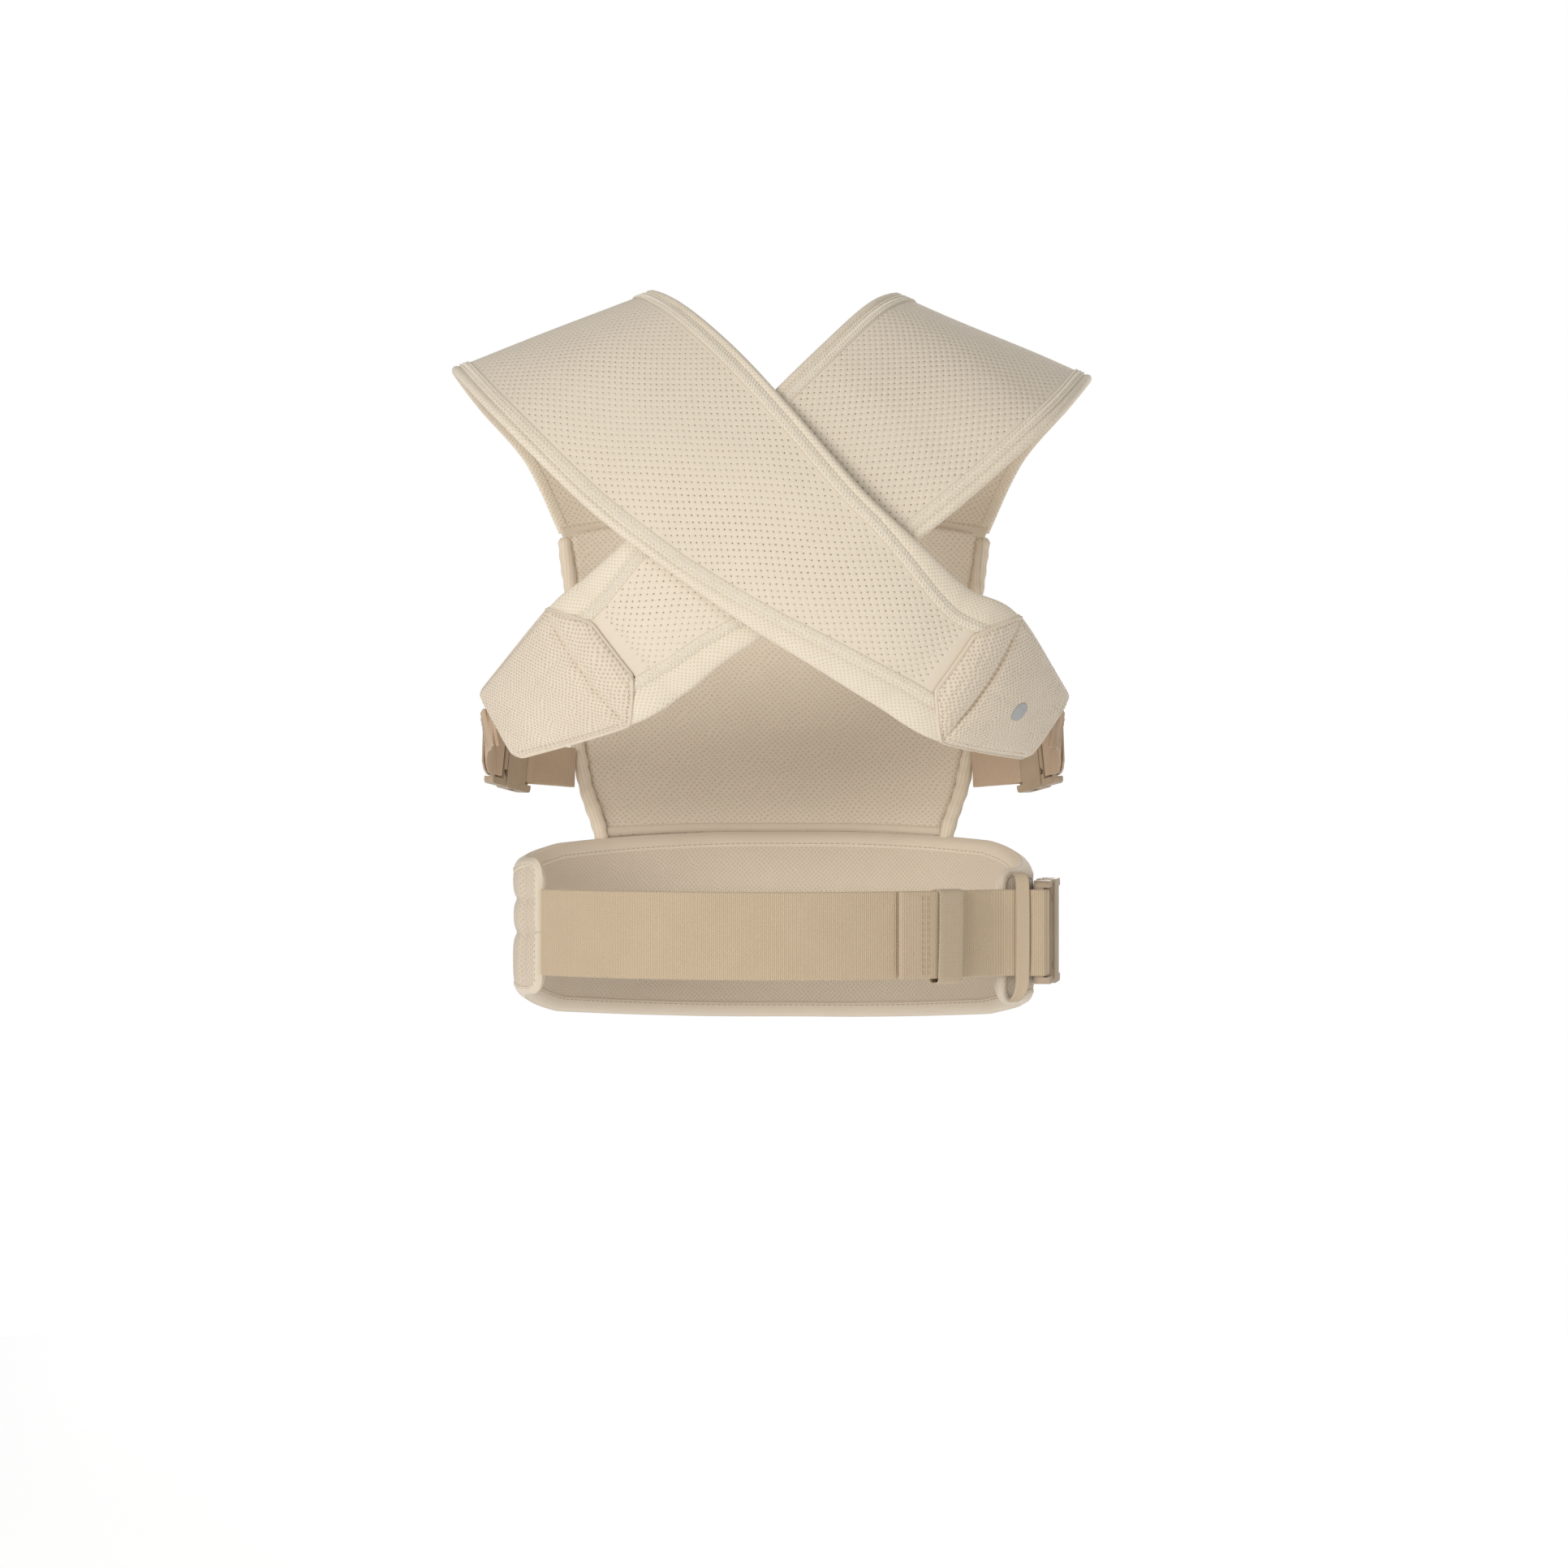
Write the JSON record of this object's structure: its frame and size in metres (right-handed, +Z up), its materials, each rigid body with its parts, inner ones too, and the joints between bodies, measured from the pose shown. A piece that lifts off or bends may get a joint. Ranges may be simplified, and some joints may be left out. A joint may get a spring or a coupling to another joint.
{
  "type": "crossed-strap harness with padded lumbar waist belt",
  "caption": "Soft worn harness: wide perforated shoulder straps cross on the back, run under the arms to side buckles, above a padded waist belt with a webbing run and side-release buckle.",
  "frame": {"origin": "centre of the waist loop, at the middle of the waist belt's height", "axes": "+Z up, the wearer faces +Y, +X to the wearer's right"},
  "size_m": [0.3813, 0.2665, 0.437],
  "materials": {
    "webbing": "woven, matt",
    "elastic": "herringbone elastic, matt",
    "buckle_plastic": "satin moulded plastic",
    "foam": "open-cell foam",
    "perforated_mesh": "perforated knit, matt",
    "lining": "fine knit, matt",
    "pad_fabric": "dimpled knit, matt",
    "knit_border": "rolled knit edge",
    "air_mesh": "spacer mesh, matt",
    "binding": "folded fabric binding",
    "patch_grey": "plain woven patch"
  },
  "bodies": {
    "harness": {"waist_cover": "air_mesh", "waist_foam": "foam", "waist_lining": "lining", "waist_top_rim": "binding", "waist_bottom_rim": "binding", "waist_webbing": "webbing", "safety_loop": "elastic", "buckle_anchor_webbing": "webbing", "waist_buckle_frame": "buckle_plastic", "waist_buckle_housing": "buckle_plastic", "left_strap_face": "perforated_mesh", "left_strap_lining": "lining", "left_strap_neck_border": "knit_border", "left_strap_arm_border": "knit_border", "right_strap_face": "perforated_mesh", "right_strap_lining": "lining", "right_strap_neck_border": "knit_border", "right_strap_arm_border": "knit_border", "left_strap_pad_cover": "pad_fabric", "left_strap_pad_foam": "foam", "left_strap_pad_backing": "lining", "right_strap_pad_cover": "pad_fabric", "right_strap_pad_foam": "foam", "right_strap_pad_backing": "lining", "left_side_webbing": "webbing", "right_side_webbing": "webbing", "left_side_buckle_frame": "buckle_plastic", "left_side_buckle_housing": "buckle_plastic", "right_side_buckle_frame": "buckle_plastic", "right_side_buckle_housing": "buckle_plastic", "left_panel_tab": "webbing", "right_panel_tab": "webbing", "front_panel": "air_mesh", "front_panel_lining": "lining", "panel_left_edge_roll": "binding", "panel_right_edge_roll": "binding", "panel_top_binding": "binding", "pad_patch": "patch_grey"},
    "keeper": {"webbing_keeper": "elastic"},
    "waist_arm_upper": {"waist_buckle_arm_upper": "buckle_plastic"},
    "waist_arm_lower": {"waist_buckle_arm_lower": "buckle_plastic"},
    "left_side_arm_upper": {"left_side_buckle_arm_upper": "buckle_plastic"},
    "left_side_arm_lower": {"left_side_buckle_arm_lower": "buckle_plastic"},
    "right_side_arm_upper": {"right_side_buckle_arm_upper": "buckle_plastic"},
    "right_side_arm_lower": {"right_side_buckle_arm_lower": "buckle_plastic"},
    "neck_support": {"neck_flap_cover": "air_mesh", "neck_flap_foam": "foam"}
  },
  "joints": [
    {"name": "waist_arm_upper_squeeze", "type": "hinge", "parent": "harness", "child": "waist_arm_upper", "pos_m": [0.15867, -0.02372, 0.0195], "axis": [-0.9903, 0.1392, 0], "range_deg": [0, 10], "stiffness_Nm_per_rad": 0.6},
    {"name": "waist_arm_lower_squeeze", "type": "hinge", "parent": "harness", "child": "waist_arm_lower", "pos_m": [0.15867, -0.02372, -0.0195], "axis": [0.9903, -0.1392, 0], "range_deg": [0, 10], "stiffness_Nm_per_rad": 0.6},
    {"name": "right_side_arm_upper_squeeze", "type": "hinge", "parent": "harness", "child": "right_side_arm_upper", "pos_m": [0.16183, 0.03987, 0.11132], "axis": [-0.8629, -0.505, -0.0187], "range_deg": [0, 10], "stiffness_Nm_per_rad": 0.6},
    {"name": "right_side_arm_lower_squeeze", "type": "hinge", "parent": "harness", "child": "right_side_arm_lower", "pos_m": [0.16349, 0.0377, 0.09335], "axis": [0.8629, 0.505, 0.0187], "range_deg": [0, 10], "stiffness_Nm_per_rad": 0.6},
    {"name": "left_side_arm_upper_squeeze", "type": "hinge", "parent": "harness", "child": "left_side_arm_upper", "pos_m": [-0.16183, 0.03987, 0.11132], "axis": [-0.8629, 0.505, 0.0187], "range_deg": [0, 10], "stiffness_Nm_per_rad": 0.6},
    {"name": "left_side_arm_lower_squeeze", "type": "hinge", "parent": "harness", "child": "left_side_arm_lower", "pos_m": [-0.16349, 0.0377, 0.09335], "axis": [0.8629, -0.505, -0.0187], "range_deg": [0, 10], "stiffness_Nm_per_rad": 0.6},
    {"name": "keeper_slide_along_webbing", "type": "hinge", "parent": "harness", "child": "keeper", "pos_m": [0, 0.06868, 0], "axis": [0, 0, 1], "range_deg": [-2, 5.5]},
    {"name": "neck_support_fold", "type": "hinge", "parent": "harness", "child": "neck_support", "pos_m": [0, 0.1281, 0.2565], "axis": [-1, 0, 0], "range_deg": [0, 160]}
  ]
}
